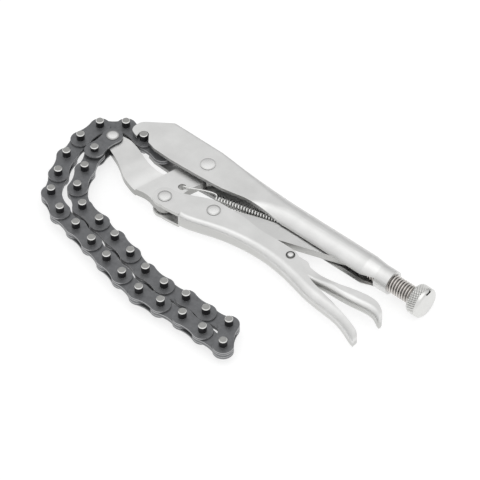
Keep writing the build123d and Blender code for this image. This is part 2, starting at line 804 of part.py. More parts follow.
boxes = [s.bounding_box() for solids in pieces.values() for s in solids]
low = Vector(*[min(getattr(b.min, c) for b in boxes) for c in "XYZ"])
high = Vector(*[max(getattr(b.max, c) for b in boxes) for c in "XYZ"])
shift = Vector(-(low.X + high.X) / 2, -(low.Y + high.Y) / 2, -low.Z)
os.makedirs("parts", exist_ok=True)
for name, solids in pieces.items():
    moved = [Pos(shift) * s for s in solids]
    export_step(moved[0] if len(moved) == 1 else Compound(children=moved), "parts/" + name + ".step")
print("pieces", len(pieces), "moved by", [round(v, 3) for v in shift])
print("size", [round(v, 2) for v in high - low])
for number, at in enumerate(pins):
    print("pin", number, round(at.X, 2), round(at.Y, 2))
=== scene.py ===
# %% [markdown]
# # A locking chain clamp on a white table
# The object is a pair of toggle pliers whose jaw carries a length of chain. The chain is
# laid out, folded back beside itself and hooked with its last long pin into the fixed jaw.
# The solids of every sheet, plate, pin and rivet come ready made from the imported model.
# This lesson gives them their metal finishes and makes the two turned pieces that need
# more detail than plain bars: the threaded screw and the knurled knob.

# %% Load the frame
import json
import math

import bmesh
import bpy
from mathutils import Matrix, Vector


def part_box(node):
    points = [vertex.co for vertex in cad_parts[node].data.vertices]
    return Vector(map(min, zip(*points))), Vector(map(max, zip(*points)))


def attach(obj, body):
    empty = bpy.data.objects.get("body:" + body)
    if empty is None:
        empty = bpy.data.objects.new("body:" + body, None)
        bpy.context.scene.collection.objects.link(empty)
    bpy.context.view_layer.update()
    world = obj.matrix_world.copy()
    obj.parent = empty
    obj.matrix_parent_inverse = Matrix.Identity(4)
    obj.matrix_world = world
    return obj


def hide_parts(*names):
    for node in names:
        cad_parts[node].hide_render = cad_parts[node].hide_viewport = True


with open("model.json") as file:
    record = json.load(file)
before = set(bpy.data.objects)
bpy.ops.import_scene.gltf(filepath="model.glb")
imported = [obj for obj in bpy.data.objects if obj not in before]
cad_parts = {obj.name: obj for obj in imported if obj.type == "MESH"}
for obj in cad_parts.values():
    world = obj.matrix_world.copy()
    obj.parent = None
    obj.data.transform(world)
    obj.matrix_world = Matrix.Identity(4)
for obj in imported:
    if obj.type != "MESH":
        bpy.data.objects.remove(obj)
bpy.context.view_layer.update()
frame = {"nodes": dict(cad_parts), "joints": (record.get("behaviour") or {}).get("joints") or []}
MM = 0.001

# %% [markdown]
# Places are taken from the frame, never typed: the screw's axis and the screw's and the
# knob's two ends are read from the boxes of their nodes. When the frame is rebuilt at
# another size, the turned pieces follow it.

# %% Measure the places that the new pieces need
screw_low, screw_high = (Vector(corner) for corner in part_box("adjusting_screw"))
knob_low, knob_high = (Vector(corner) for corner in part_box("screw_knob"))
axis_y = (screw_low.y + screw_high.y) / 2
axis_z = (screw_low.z + screw_high.z) / 2
screw_radius = (screw_high.z - screw_low.z) / 2
knob_radius = (knob_high.z - knob_low.z) / 2
print("screw radius mm", round(screw_radius / MM, 2), "knob radius mm", round(knob_radius / MM, 2))

# %% [markdown]
# Colours are written as the sRGB hex values that a paint or photo program shows. Shaders
# work in linear light, so one function turns one into the other, by the curve of the sRGB
# standard. A second small function adds a node to a material with its settings, its links
# and, for a colour ramp, its stops, which keeps each finish readable as a short list of
# steps. A Mix node has sockets for each kind of value: those for colours are inputs 6 and
# 7 and output 2.

# %% Colour and node helpers
MIX_FIRST, MIX_SECOND, MIX_RESULT = 6, 7, 2


def linear(hex_colour):
    """The linear RGBA colour of an sRGB hex value."""
    parts = [int(hex_colour[i : i + 2], 16) / 255 for i in (1, 3, 5)]
    return [p / 12.92 if p <= 0.04045 else ((p + 0.055) / 1.055) ** 2.4 for p in parts] + [1.0]


def grey(level):
    """A plain number as a linear colour."""
    return (level, level, level, 1.0)


def add_node(tree, kind, links=(), settings=(), stops=(), **attributes):
    """A new node with its attributes, its sockets' values, its incoming links and its stops."""
    made = tree.nodes.new(kind)
    for name, value in attributes.items():
        setattr(made, name, value)
    for name, value in settings:
        made.inputs[name].default_value = value
    for name, source in links:
        tree.links.new(source, made.inputs[name])
    if stops:
        while len(made.color_ramp.elements) < len(stops):
            made.color_ramp.elements.new(1.0)
        for stop, (position, colour) in zip(made.color_ramp.elements, stops):
            stop.position = position
            stop.color = colour
    return made


def new_finish(name):
    """An empty node material, its tree and its output node."""
    finish = bpy.data.materials.new(name)
    finish.use_nodes = True
    tree = finish.node_tree
    tree.nodes.clear()
    return finish, tree, tree.nodes.new("ShaderNodeOutputMaterial")


print("linear value of mid grey", round(linear("#808080")[0], 3))

# %% [markdown]
# ## Satin plated pressed steel
# The body, the lever handle, the release lever and the toggle are pressed from steel
# sheet, tumbled and then plated with bright zinc over the tumbled skin. The eye reads
# this as a pale, even, slightly milky metal: reflections are wide and soft, with fine
# drawn lines along the tool and faint clouding where the tumbling was uneven. It could be
# one anisotropic shader, but the export drops linked anisotropy, so stretched noise in
# the bump and in the roughness gives the same drawn grain on every view. The real lines
# lie a few hundredths of a millimetre apart, too fine to show here, so they are drawn at
# 0.3 mm.

# %% Drawn grain and clouds
GRAIN_MM = 0.3
GRAIN_STRETCH = 22
CLOUD_MM = 14


def drawn_grain(tree, place):
    """Noise that is drawn out along the tool into fine lines."""
    grain_scale = 1 / (GRAIN_MM * MM)
    stretched = add_node(
        tree,
        "ShaderNodeMapping",
        [("Vector", place.outputs["Object"])],
        [("Scale", (grain_scale / GRAIN_STRETCH, grain_scale, grain_scale))],
    )
    grain = add_node(
        tree,
        "ShaderNodeTexNoise",
        [("Vector", stretched.outputs["Vector"])],
        [("Scale", 1.0), ("Detail", 3.0), ("Roughness", 0.6)],
    )
    return grain.outputs["Fac"]


def clouded(tree, place, pale, shade):
    """A slow change between two near colours."""
    cloud = add_node(
        tree,
        "ShaderNodeTexNoise",
        [("Vector", place.outputs["Object"])],
        [("Scale", 1 / (CLOUD_MM * MM)), ("Detail", 4.0), ("Roughness", 0.55)],
    )
    tint = add_node(
        tree,
        "ShaderNodeMix",
        [("Factor", cloud.outputs["Fac"])],
        [(MIX_FIRST, linear(shade)), (MIX_SECOND, linear(pale))],
        data_type="RGBA",
    )
    return tint.outputs[MIX_RESULT]


print("grain mm", GRAIN_MM, "drawn out to mm", round(GRAIN_MM * GRAIN_STRETCH, 1))

# %% [markdown]
# Upright faces get a darker steep colour, which is painted shade: the narrow sheared edge
# of each blank, the upright web of the handle and the rim of each rivet dome. A sheared
# edge is torn and a little duller than the rolled face, but this colour is far darker and
# stands in for the darker surroundings that these faces would mirror. Each is steeper than
# the faces beside it, so the surface's own upward direction tells it apart, with no second
# slot to assign by hand. The grip's round side is steep too, but it is rolled skin and
# keeps its shine, so on the body the painted shade ends where the grip starts.

# %% Painted shade where faces stand steep
GRIP_FADE_MM = 12


def upward_part(tree, place):
    """How far a face looks up or down: 1 when it lies flat and 0 when it stands upright."""
    split = add_node(tree, "ShaderNodeSeparateXYZ", [("Vector", place.outputs["Normal"])])
    size = add_node(tree, "ShaderNodeMath", [(0, split.outputs["Z"])], operation="ABSOLUTE")
    return size.outputs[0]


def only_before(tree, place, amount, end_x):
    """The amount as it is up to a place along the tool, and fading to nothing behind it."""
    split = add_node(tree, "ShaderNodeSeparateXYZ", [("Vector", place.outputs["Object"])])
    before = add_node(
        tree,
        "ShaderNodeMapRange",
        [("Value", split.outputs["X"])],
        [
            ("From Min", end_x),
            ("From Max", end_x + GRIP_FADE_MM * MM),
            ("To Min", 1.0),
            ("To Max", 0.0),
        ],
    )
    both = add_node(
        tree,
        "ShaderNodeMath",
        [(0, amount), (1, before.outputs["Result"])],
        operation="MULTIPLY",
    )
    return both.outputs[0]


def painted_steep_shade(tree, place, skin, steep, fade, end_x):
    """The skin, turned to the steep painted shade as the upward part falls through the fade."""
    none_above, all_below = fade
    is_steep = add_node(
        tree,
        "ShaderNodeMapRange",
        [("Value", upward_part(tree, place))],
        [("From Min", all_below), ("From Max", none_above), ("To Min", 1.0), ("To Max", 0.0)],
    )
    amount = is_steep.outputs["Result"]
    if end_x is not None:
        amount = only_before(tree, place, amount, end_x)
    blend = add_node(
        tree,
        "ShaderNodeMix",
        [("Factor", amount), (MIX_FIRST, skin)],
        [(MIX_SECOND, linear(steep))],
        data_type="RGBA",
    )
    return blend.outputs[MIX_RESULT]


print("steep colour of the body fades over mm", GRIP_FADE_MM)

# %% [markdown]
# One function joins these steps. Zinc plate is fully metallic. The grain moves the
# roughness a little to both sides of its middle value and gives a very low bump, and a
# piece with less grain is also more even in its gloss.

# %% Plated steel
GRAIN_SPREAD = 0.3
GRAIN_DEPTH_MM = 0.02
GRAIN_LOW, GRAIN_HIGH = 0.3, 0.7


def plated_steel(name, pale, shade, rough, grain, steep=None, fade=None, end_x=None):
    """Plated steel with clouds and a drawn grain; steep is the painted shade on steep faces."""
    finish, tree, out = new_finish(name)
    place = add_node(tree, "ShaderNodeTexCoord")
    lines = drawn_grain(tree, place)
    skin = clouded(tree, place, pale, shade)
    # Steep faces take the steep colour, which is painted shade.
    if steep:
        skin = painted_steep_shade(tree, place, skin, steep, fade, end_x)
    spread = GRAIN_SPREAD * grain
    worn = add_node(
        tree,
        "ShaderNodeMapRange",
        [("Value", lines)],
        [
            ("From Min", GRAIN_LOW),
            ("From Max", GRAIN_HIGH),
            ("To Min", rough - spread),
            ("To Max", rough + spread),
        ],
    )
    bump = add_node(
        tree,
        "ShaderNodeBump",
        [("Height", lines)],
        [("Strength", grain), ("Distance", GRAIN_DEPTH_MM * MM)],
    )
    shader = add_node(
        tree,
        "ShaderNodeBsdfPrincipled",
        [
            ("Base Color", skin),
            ("Roughness", worn.outputs["Result"]),
            ("Normal", bump.outputs["Normal"]),
        ],
        [("Metallic", 1.0)],
    )
    tree.links.new(shader.outputs["BSDF"], out.inputs["Surface"])
    return finish


print("roughness of a full grain spreads by", GRAIN_SPREAD)

# %% [markdown]
# Each plated piece gets its own values. The handle and the body are satin, and their steep
# colours are painted shade on upright faces, as are those of the jaw and the toggle. The
# jaw is forged and ground, so it is smoother and has hardly any lines. The toggle bar is a
# shade darker. Rivet heads are burnished by the setting tool and are the brightest; their
# steep colour is a dark ring of painted shade round the rim. A dome's rim leans by only
# about fifteen degrees, which is why its fade lies so close to 1. The spring is wire drawn
# through dies, bright and nearly without grain.

# %% Finishes of the plated pieces
# The steep colours below are painted shade on each piece's upright faces.
SHEET_PALE, SHEET_SHADE = "#F4F4F3", "#DADAD9"
GRIP_BEHIND_JAW_MM = 30
grip_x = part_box("lower_jaw")[1][0] + GRIP_BEHIND_JAW_MM * MM
satin_sheet = plated_steel(
    "satin zinc plated handle",
    SHEET_PALE,
    SHEET_SHADE,
    rough=0.42,
    grain=0.2,
    steep="#CCCCCA",
    fade=(0.4, 0.05),
)
body_sheet = plated_steel(
    "satin zinc plated sheet with painted wall shade",
    SHEET_PALE,
    SHEET_SHADE,
    rough=0.47,
    grain=0.2,
    steep="#A4A4A3",
    fade=(0.4, 0.1),
    end_x=grip_x,
)
forged_plate = plated_steel(
    "zinc plated forged jaw",
    "#FAFAF9",
    "#DEDEDD",
    rough=0.3,
    grain=0.02,
    steep="#A8A8A6",
    fade=(0.5, 0.1),
)
toggle_sheet = plated_steel(
    "zinc plated toggle bar",
    "#E4E4E3",
    "#D6D6D5",
    rough=0.34,
    grain=0.15,
    steep="#C2C2C0",
    fade=(0.5, 0.1),
)
# The rivet's steep colour is a dark ring of painted shade round the rim of each dome.
rivet_dome = plated_steel(
    "burnished rivet head with painted rim shade",
    "#FAFAF9",
    "#F0F0EF",
    rough=0.16,
    grain=0.03,
    steep="#585857",
    fade=(0.985, 0.965),
)
spring_wire = plated_steel("drawn spring wire", "#F2F2F0", "#D8D8D6", rough=0.2, grain=0.05)
for finish in (satin_sheet, body_sheet, forged_plate, toggle_sheet, rivet_dome, spring_wire):
    print("finish", finish.name)

# %% [markdown]
# ## Phosphated chain steel
# Chain plates are punched, tumbled and dipped in a phosphate bath that leaves a dark
# grey, oiled, crystalline skin. The pins are riveted: their barrels are nearly black, the
# bevelled rim of each end is pale, as rubbed wear together with a painted highlight, and the
# staked middle is a duller grey. The plates' upper rims are paler too, as wear where links
# have run on each other together with a painted highlight where the rounded edge would
# catch the light. All of these follow the height above the chain's own middle plane, so
# one material can tell them apart without a second slot. The chain lies with a small lean,
# so the plane comes from a link's box and from a hinge's axis.

# %% Heights above the chain's middle plane
REACH_MM = 8.0
link_low, link_high = (Vector(corner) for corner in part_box("link_02"))
link_mid = (link_low + link_high) / 2
chain_joint = next(j for j in frame["joints"] if j["name"] == "chain_turn_13")
chain_up = Vector(chain_joint["axis"]).normalized()


def height_over_plane(tree, place):
    """Distance from the chain's middle plane, as a share of REACH_MM."""
    lifted = add_node(
        tree,
        "ShaderNodeVectorMath",
        [(0, place.outputs["Object"])],
        [(1, link_mid)],
        operation="SUBTRACT",
    )
    along = add_node(
        tree,
        "ShaderNodeVectorMath",
        [(0, lifted.outputs["Vector"])],
        [(1, chain_up)],
        operation="DOT_PRODUCT",
    )
    above = add_node(tree, "ShaderNodeMath", [(0, along.outputs["Value"])], operation="ABSOLUTE")
    share = add_node(
        tree,
        "ShaderNodeMapRange",
        [("Value", above.outputs[0])],
        [("From Min", 0.0), ("From Max", REACH_MM * MM)],
    )
    return share.outputs["Result"]


def banded(tree, height, bands):
    """A colour in hard steps: each band starts at a height in mm and has one colour."""
    stops = [(start_mm / REACH_MM, colour) for start_mm, colour in bands]
    ramp = add_node(tree, "ShaderNodeValToRGB", [("Fac", height)], stops=stops)
    ramp.color_ramp.interpolation = "CONSTANT"
    return ramp.outputs["Color"]


print("chain's up direction", [round(v, 4) for v in chain_up])

# %% [markdown]
# The plates' skin changes slowly between two dark greys, as oil lies on it in patches a
# few millimetres wide. The pale rims, wear together with a painted highlight, are where two
# things are true at once: the face stands upright, and its height lies just under the top
# of a plate. Multiplying the two amounts keeps both the flat of the plate and the lower
# part of its wall dark.

# %% Oiled skin, and rims with wear and a painted highlight
OIL_MM = 3.0
# The pale rim colour is wear together with a painted highlight.
PLATE_PALE, PLATE_SHADE, RIM_WORN_AND_HIGHLIT = "#848587", "#5C5D5F", "#C4C4C5"
WORN_HIGHLIT_MM, WORN_HIGHLIT_SHARE = 0.5, 0.85
ROUND_TOP_MM = 0.05
WALL_FROM, WALL_TO = 0.3, 0.7


def oiled_skin(tree, place):
    """Dark grey with slow patches of oil."""
    oil = add_node(
        tree,
        "ShaderNodeTexNoise",
        [("Vector", place.outputs["Object"])],
        [("Scale", 1 / (OIL_MM * MM)), ("Detail", 3.0), ("Roughness", 0.65)],
    )
    skin = add_node(
        tree,
        "ShaderNodeMix",
        [("Factor", oil.outputs["Fac"])],
        [(MIX_FIRST, linear(PLATE_SHADE)), (MIX_SECOND, linear(PLATE_PALE))],
        data_type="RGBA",
    )
    return skin.outputs[MIX_RESULT]


def rims_worn_and_highlit(tree, place, height, skin, tops_mm):
    """The skin, paler on the upper part of each plate's wall, as wear and painted highlight."""
    on_wall = add_node(
        tree,
        "ShaderNodeMapRange",
        [("Value", upward_part(tree, place))],
        [
            ("From Min", WALL_FROM),
            ("From Max", WALL_TO),
            ("To Min", WORN_HIGHLIT_SHARE),
            ("To Max", 0.0),
        ],
    )
    bands = [(0, grey(0))]
    for top_mm in tops_mm:
        bands += [(top_mm - WORN_HIGHLIT_MM, grey(1)), (top_mm + ROUND_TOP_MM, grey(0))]
    on_rim = add_node(
        tree,
        "ShaderNodeMath",
        [(0, on_wall.outputs["Result"]), (1, banded(tree, height, bands))],
        operation="MULTIPLY",
    )
    # Mix in the pale rim colour: wear together with a painted highlight.
    worn_highlit = add_node(
        tree,
        "ShaderNodeMix",
        [("Factor", on_rim.outputs[0]), (MIX_FIRST, skin)],
        [(MIX_SECOND, linear(RIM_WORN_AND_HIGHLIT))],
        data_type="RGBA",
    )
    return worn_highlit.outputs[MIX_RESULT]


print("rubbed rims mm", WORN_HIGHLIT_MM, "oil patches mm", OIL_MM)

# %% [markdown]
# Phosphate is part metal and part mineral, so it is given a middling metallic share and a
# medium roughness. Its crystals are far finer than a pixel and are drawn at 0.45 mm so that
# their bump shows at all. Colour, metallic share and roughness each follow their own bands
# of height. The first link is wide and straddles the jaw's tongue, so its plates lie
# further out than those of the others and less of its pins is bare. It needs a second
# material with its own heights.

# %% Chain steel
CRYSTAL_MM, CRYSTAL_DEPTH_MM, CRYSTAL_BUMP = 0.45, 0.03, 0.35
RIM_FROM_MM, CENTRE_FROM_MM = 7.15, 7.62
# The pale pin rim colour is rubbed wear together with a painted highlight.
PIN_COLOURS = [(0, "#2C2C2E"), (RIM_FROM_MM, "#EDEDEB"), (CENTRE_FROM_MM, "#A9A9A7")]
METAL_BANDS = [(0, 0.6), (RIM_FROM_MM, 0.95)]
ROUGH_BANDS = [(0, 0.42), (RIM_FROM_MM, 0.3), (CENTRE_FROM_MM, 0.4)]


def chain_steel(name, barrel_from_mm, tops_mm):
    """Phosphated plates, nearly black pin barrels, pale pin rims and duller staked ends."""
    finish, tree, out = new_finish(name)
    place = add_node(tree, "ShaderNodeTexCoord")
    height = height_over_plane(tree, place)
    plates = rims_worn_and_highlit(tree, place, height, oiled_skin(tree, place), tops_mm)
    pins = banded(tree, height, [(start, linear(colour)) for start, colour in PIN_COLOURS])
    is_pin = banded(tree, height, [(0, grey(0)), (barrel_from_mm, grey(1))])
    colour = add_node(
        tree,
        "ShaderNodeMix",
        [("Factor", is_pin), (MIX_FIRST, plates), (MIX_SECOND, pins)],
        data_type="RGBA",
    )
    crystals = add_node(
        tree,
        "ShaderNodeTexNoise",
        [("Vector", place.outputs["Object"])],
        [("Scale", 1 / (CRYSTAL_MM * MM)), ("Detail", 2.0)],
    )
    bump = add_node(
        tree,
        "ShaderNodeBump",
        [("Height", crystals.outputs["Fac"])],
        [("Strength", CRYSTAL_BUMP), ("Distance", CRYSTAL_DEPTH_MM * MM)],
    )
    shader = add_node(
        tree,
        "ShaderNodeBsdfPrincipled",
        [
            ("Base Color", colour.outputs[MIX_RESULT]),
            ("Roughness", banded(tree, height, [(at, grey(v)) for at, v in ROUGH_BANDS])),
            ("Metallic", banded(tree, height, [(at, grey(v)) for at, v in METAL_BANDS])),
            ("Normal", bump.outputs["Normal"]),
        ],
    )
    tree.links.new(shader.outputs["BSDF"], out.inputs["Surface"])
    return finish


phosphate = chain_steel("dark phosphated chain steel", barrel_from_mm=2.9, tops_mm=(1.35, 2.8))
wide_phosphate = chain_steel("dark phosphated wide link", barrel_from_mm=4.4, tops_mm=(4.25,))
print("chain finishes", phosphate.name, "and", wide_phosphate.name)

# %% [markdown]
# ## Dressing the solids
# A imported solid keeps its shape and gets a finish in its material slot. Edges of real
# sheet are never knife sharp: tumbling rounds them to about half a millimetre, and that
# thin round is what catches the light. Cutting the round into the solids would cost many
# faces in every copy, so a bevel modifier with an angle limit gives it here: it rounds
# real edges only and leaves the facets of curved faces alone. Rivets and springs have no
# such edges and get none.

# %% Finish each solid
LINK_EDGE_MM = 0.2
EDGE_STEPS = 2
EDGE_FROM_DEGREES = 50
FINISHES = {
    "fixed_body": (body_sheet, 0.45),
    "lever_handle": (satin_sheet, 0.45),
    "release_lever": (satin_sheet, 0.35),
    "toggle_link": (toggle_sheet, 0.35),
    "lower_jaw": (forged_plate, 0.5),
    "main_pivot_rivet": (rivet_dome, 0),
    "jaw_rivet": (rivet_dome, 0),
    "toggle_rivet": (rivet_dome, 0),
    "release_pin": (rivet_dome, 0),
    "chain_rivet": (rivet_dome, 0),
    "link_01": (wide_phosphate, LINK_EDGE_MM),
    "jaw_spring": (spring_wire, 0),
}


def dress(solid, finish, edge_mm):
    """A finish in the solid's slots and softly broken edges."""
    for slot in solid.material_slots:
        slot.material = finish
    if edge_mm:
        soft = solid.modifiers.new("tumbled edges", "BEVEL")
        soft.width = edge_mm * MM
        soft.segments = EDGE_STEPS
        soft.limit_method = "ANGLE"
        soft.angle_limit = math.radians(EDGE_FROM_DEGREES)
        soft.use_clamp_overlap = True


for name, solid in frame["nodes"].items():
    plain_link = (phosphate, LINK_EDGE_MM if name.startswith("link") else 0)
    dress(solid, *FINISHES.get(name, plain_link))
print("solids with a finish", len(frame["nodes"]))

# %% [markdown]
# ## Turned steel with painted shade in its grooves
# The screw and the knob are turned from bar, and then rolled. The finish gets darker with
# the depth below the crest, as painted shade in the roots of the thread and the knurl. The
# distance from the screw's axis tells the depth, and it is the same wherever the screw has
# turned to. The ramp reaches twice as deep as the grooves, so that a groove's bottom lies at
# one half, and what lies further in, the piece's end, has its own colour.

# %% Turned finish that is darker in its grooves
END_TO, GROOVE_SHADE_FROM, GROOVE_SHADE_FULL, GROOVE_SHADE_TO = 0.06, 0.42, 0.5, 0.94


def turned_steel(name, crest, groove, end, crest_radius, depth_mm, rough):
    """Plated steel that is bright on the crests and painted with shade in the grooves."""
    finish, tree, out = new_finish(name)
    place = add_node(tree, "ShaderNodeTexCoord")
    from_axis = add_node(
        tree,
        "ShaderNodeVectorMath",
        [(0, place.outputs["Object"])],
        [(1, Vector((0, axis_y, axis_z)))],
        operation="SUBTRACT",
    )
    across = add_node(
        tree,
        "ShaderNodeVectorMath",
        [(0, from_axis.outputs["Vector"])],
        [(1, (0, 1, 1))],
        operation="MULTIPLY",
    )
    radius = add_node(
        tree, "ShaderNodeVectorMath", [(0, across.outputs["Vector"])], operation="LENGTH"
    )
    share = add_node(
        tree,
        "ShaderNodeMapRange",
        [("Value", radius.outputs["Value"])],
        [("From Min", crest_radius - 2 * depth_mm * MM), ("From Max", crest_radius)],
    )
    stops = [
        (0.0, linear(end)),
        (END_TO, linear(crest)),
        (GROOVE_SHADE_FROM, linear(crest)),
        (GROOVE_SHADE_FULL, linear(groove)),
        (GROOVE_SHADE_TO, linear(crest)),
    ]
    tint = add_node(tree, "ShaderNodeValToRGB", [("Fac", share.outputs["Result"])], stops=stops)
    shader = add_node(
        tree,
        "ShaderNodeBsdfPrincipled",
        [("Base Color", tint.outputs["Color"])],
        [("Metallic", 1.0), ("Roughness", rough)],
    )
    tree.links.new(shader.outputs["BSDF"], out.inputs["Surface"])
    return finish


print("axis of the turned pieces mm", round(axis_y / MM, 2), round(axis_z / MM, 2))

# %% [markdown]
# ## Rings of points
# Both turned pieces are grids of points: round the axis, and along it. Each ring has as
# many points as the next, so four neighbours make a face, and the two ends are closed with
# one face each. A lathe modifier would turn a plain profile as well, but neither a thread
# nor a knurl is the same all round.

# %% Rings, skins and smooth shading


def ring(x, radius_at, count):
    """Points round the screw's axis at x, with a radius for each angle."""
    points = []
    for i in range(count):
        turn = 2 * math.pi * i / count
        radius = radius_at(x, turn)
        points.append((x, axis_y + radius * math.cos(turn), axis_z + radius * math.sin(turn)))
    return points


def skinned(name, rings):
    """An object from rings of points, closed at both ends."""
    mesh = bmesh.new()
    rows = [[mesh.verts.new(point) for point in points] for points in rings]
    count = len(rows[0])
    for row, following in zip(rows, rows[1:]):
        for i in range(count):
            k = (i + 1) % count
            mesh.faces.new((row[i], row[k], following[k], following[i]))
    mesh.faces.new(rows[0][::-1])
    mesh.faces.new(rows[-1])
    bmesh.ops.recalc_face_normals(mesh, faces=mesh.faces)
    data = bpy.data.meshes.new(name)
    mesh.to_mesh(data)
    mesh.free()
    made = bpy.data.objects.new(name, data)
    bpy.context.collection.objects.link(made)
    return made


def smoothed(piece, sharp_degrees):
    """Smooth shading on every face but those that meet at a sharp edge."""
    for face in piece.data.polygons:
        face.use_smooth = True
    piece.data.set_sharp_from_angle(angle=math.radians(sharp_degrees))


print("knob's two ends mm", round(knob_low.x / MM, 2), round(knob_high.x / MM, 2))

# %% [markdown]
# ## The adjusting screw
# The real screw has a rolled thread of 14 turns to the inch. A thread is one ridge wound
# round a bar, with a radius that depends on how far the point lies from the ridge: a flat
# crest, two flanks and a narrow root. The phase of the ridge moves with the angle, and as
# the last column of points wraps round to the first, the ridge climbs one pitch in each
# turn. A screw modifier could sweep the same profile. The grid is used because the chamfer
# at the tip is then only one more limit on the radius, over the first 1.2 mm.

# %% Wind the thread
THREAD_PITCH_MM = 25.4 / 14
THREAD_DEPTH_MM = 0.95
CREST_SHARE, FLANK_SHARE = 0.16, 0.7
TIP_BEVEL_MM = 1.2
THREAD_AROUND = 64
STEPS_PER_TURN = 14
THREAD_SHARP_DEGREES = 50
thread_pitch = THREAD_PITCH_MM * MM


def thread_radius(x, turn):
    """Radius of the thread at a place along the screw and an angle round it."""
    phase = (x / thread_pitch - turn / (2 * math.pi)) % 1
    from_crest = abs(phase - 0.5) * 2
    down = min(max((from_crest - CREST_SHARE) / FLANK_SHARE, 0), 1)
    tip_radius = screw_radius - max(TIP_BEVEL_MM * MM - (x - screw_low.x), 0)
    return min(tip_radius, screw_radius - down * THREAD_DEPTH_MM * MM)


thread_length = knob_low.x - screw_low.x
steps = int(thread_length / thread_pitch * STEPS_PER_TURN)
places = [screw_low.x + thread_length * step / steps for step in range(steps + 1)]
rings = [ring(x, thread_radius, THREAD_AROUND) for x in places]
thread = skinned("adjusting_screw_thread", rings)
smoothed(thread, THREAD_SHARP_DEGREES)
print("thread turns", round(thread_length / thread_pitch, 1))

# %% [markdown]
# The wound thread takes the plain bar's place: the bar is hidden, and the thread gets its
# own steel and moves with the screw.

# %% Finish the screw
# The groove colour is painted shade in the roots of the thread.
screw_metal = turned_steel(
    "zinc plated rolled thread",
    crest="#E2DEDA",
    groove="#6C6A68",
    end="#8A8886",
    crest_radius=screw_radius,
    depth_mm=THREAD_DEPTH_MM,
    rough=0.24,
)
thread.data.materials.append(screw_metal)
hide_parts("adjusting_screw")
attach(thread, "screw")
print("thread faces", len(thread.data.polygons))

# %% [markdown]
# ## The knurled knob
# The knob is turned, and its rim is rolled with a diamond knurl that stops short of both
# bevels and leaves a plain land before the outer one. The knurl is where two families of
# slanted grooves cross. Each family is a wave that depends on the angle plus or minus the
# distance along the axis, and the deeper of the two waves cuts the rim. A bump pattern
# would be cheaper, but the rim stands against white paper, where only real grooves give
# its fine saw edge.

# %% Knurl
KNURL_COUNT = 42
KNURL_DEPTH_MM = 0.5
KNURL_STEEPNESS = 1.7
POINTS_PER_GROOVE = 6
KNURL_AROUND = KNURL_COUNT * POINTS_PER_GROOVE
knurl_pitch = 2 * math.pi * knob_radius / KNURL_COUNT


def knurl_radius(x, turn):
    """Rim radius where two families of slanted grooves cross."""
    slant = (x - knob_low.x) / knurl_pitch
    waves = [
        abs(math.cos(0.5 * (KNURL_COUNT * turn + way * 2 * math.pi * slant))) for way in (1, -1)
    ]
    groove = max(0.0, 1 - KNURL_STEEPNESS * min(waves))
    return knob_radius - KNURL_DEPTH_MM * MM * groove


def plain_round(radius):
    """A round that has the same radius at every angle."""
    return lambda x, turn: radius


print("knurl grooves", 2 * KNURL_COUNT, "pitch mm", round(knurl_pitch / MM, 2))

# %% [markdown]
# The knob's profile runs from its back end, over a small bevel, along the knurl, over the
# plain land and a rounder bevel to the flat end. The bevels are short lists of places in
# shares of their width: how far from the end, and how far below the rim. The plain rounds
# lie a hair lower than the knurl's crests, as on the real one.

# %% Turn the knob
KNOB_BEVEL_MM = 1.3
BEVEL_CLEAR = 1.1
PLAIN_LAND_MM = 1.4
LAND_BELOW_MM = 0.05
LAND_STEP_MM = 0.1
HUB_SHARE = 0.3
KNURL_ROWS = 40
BACK_BEVEL = [(0, 1), (0.5, 0.4)]
FRONT_BEVEL = [(0.5, 0.3), (0.12, 0.8), (0, 1.2)]
start, end = knob_low.x, knob_high.x
bevel = KNOB_BEVEL_MM * MM
knurl_start = start + bevel * BEVEL_CLEAR
knurl_end = end - bevel * BEVEL_CLEAR - PLAIN_LAND_MM * MM
hub = plain_round(knob_radius * HUB_SHARE)
land = plain_round(knob_radius - LAND_BELOW_MM * MM)
rounds = [(start, hub)]
for along, below in BACK_BEVEL:
    rounds.append((start + bevel * along, plain_round(knob_radius - bevel * below)))
rounds.append((start + bevel, land))
for row in range(KNURL_ROWS + 1):
    rounds.append((knurl_start + (knurl_end - knurl_start) * row / KNURL_ROWS, knurl_radius))
rounds += [(knurl_end + LAND_STEP_MM * MM, land), (end - bevel, land)]
for along, below in FRONT_BEVEL:
    rounds.append((end - bevel * along, plain_round(knob_radius - bevel * below)))
rounds.append((end, hub))
rings = [ring(x, radius_at, KNURL_AROUND) for x, radius_at in rounds]
knob = skinned("screw_knob_knurled", rings)
print("rounds of the knob", len(rounds))

# %% [markdown]
# The real knob has a short mark at the rim of its end face. It is cut as a shallow slot
# with a boolean, because a slot across a bevel follows neither the rings nor the columns
# of points. The result is read back as a plain mesh, and the cutter is taken away.

# %% Cut the short mark into the knob's end
MARK_LONG_MM, MARK_WIDE_MM, MARK_DEEP_MM = 4.2, 0.9, 1.1
MARK_ASIDE_MM, MARK_RISE_MM = 1.3, 8.4
KNOB_SHARP_DEGREES = 40


def mark_ring(x):
    """The mark's four corners, seen along the axis."""
    return [
        (
            x,
            axis_y + (MARK_ASIDE_MM + a * MARK_LONG_MM / 2) * MM,
            axis_z + (MARK_RISE_MM + b * MARK_WIDE_MM / 2) * MM,
        )
        for a, b in ((-1, -1), (1, -1), (1, 1), (-1, 1))
    ]


mark_ends = [mark_ring(end - MARK_DEEP_MM * MM), mark_ring(end + MARK_DEEP_MM * MM)]
cutter = skinned("mark_cutter", mark_ends)
mark_corners = [vertex.co.copy() for vertex in cutter.data.vertices]
cut = knob.modifiers.new("mark", "BOOLEAN")
cut.object = cutter
cut.operation = "DIFFERENCE"
cut.solver = "EXACT"
evaluated = knob.evaluated_get(bpy.context.evaluated_depsgraph_get())
marked = bpy.data.meshes.new_from_object(evaluated)
knob.modifiers.clear()
knob.data = marked
bpy.data.objects.remove(cutter)
smoothed(knob, KNOB_SHARP_DEGREES)
print("knob faces", len(knob.data.polygons))
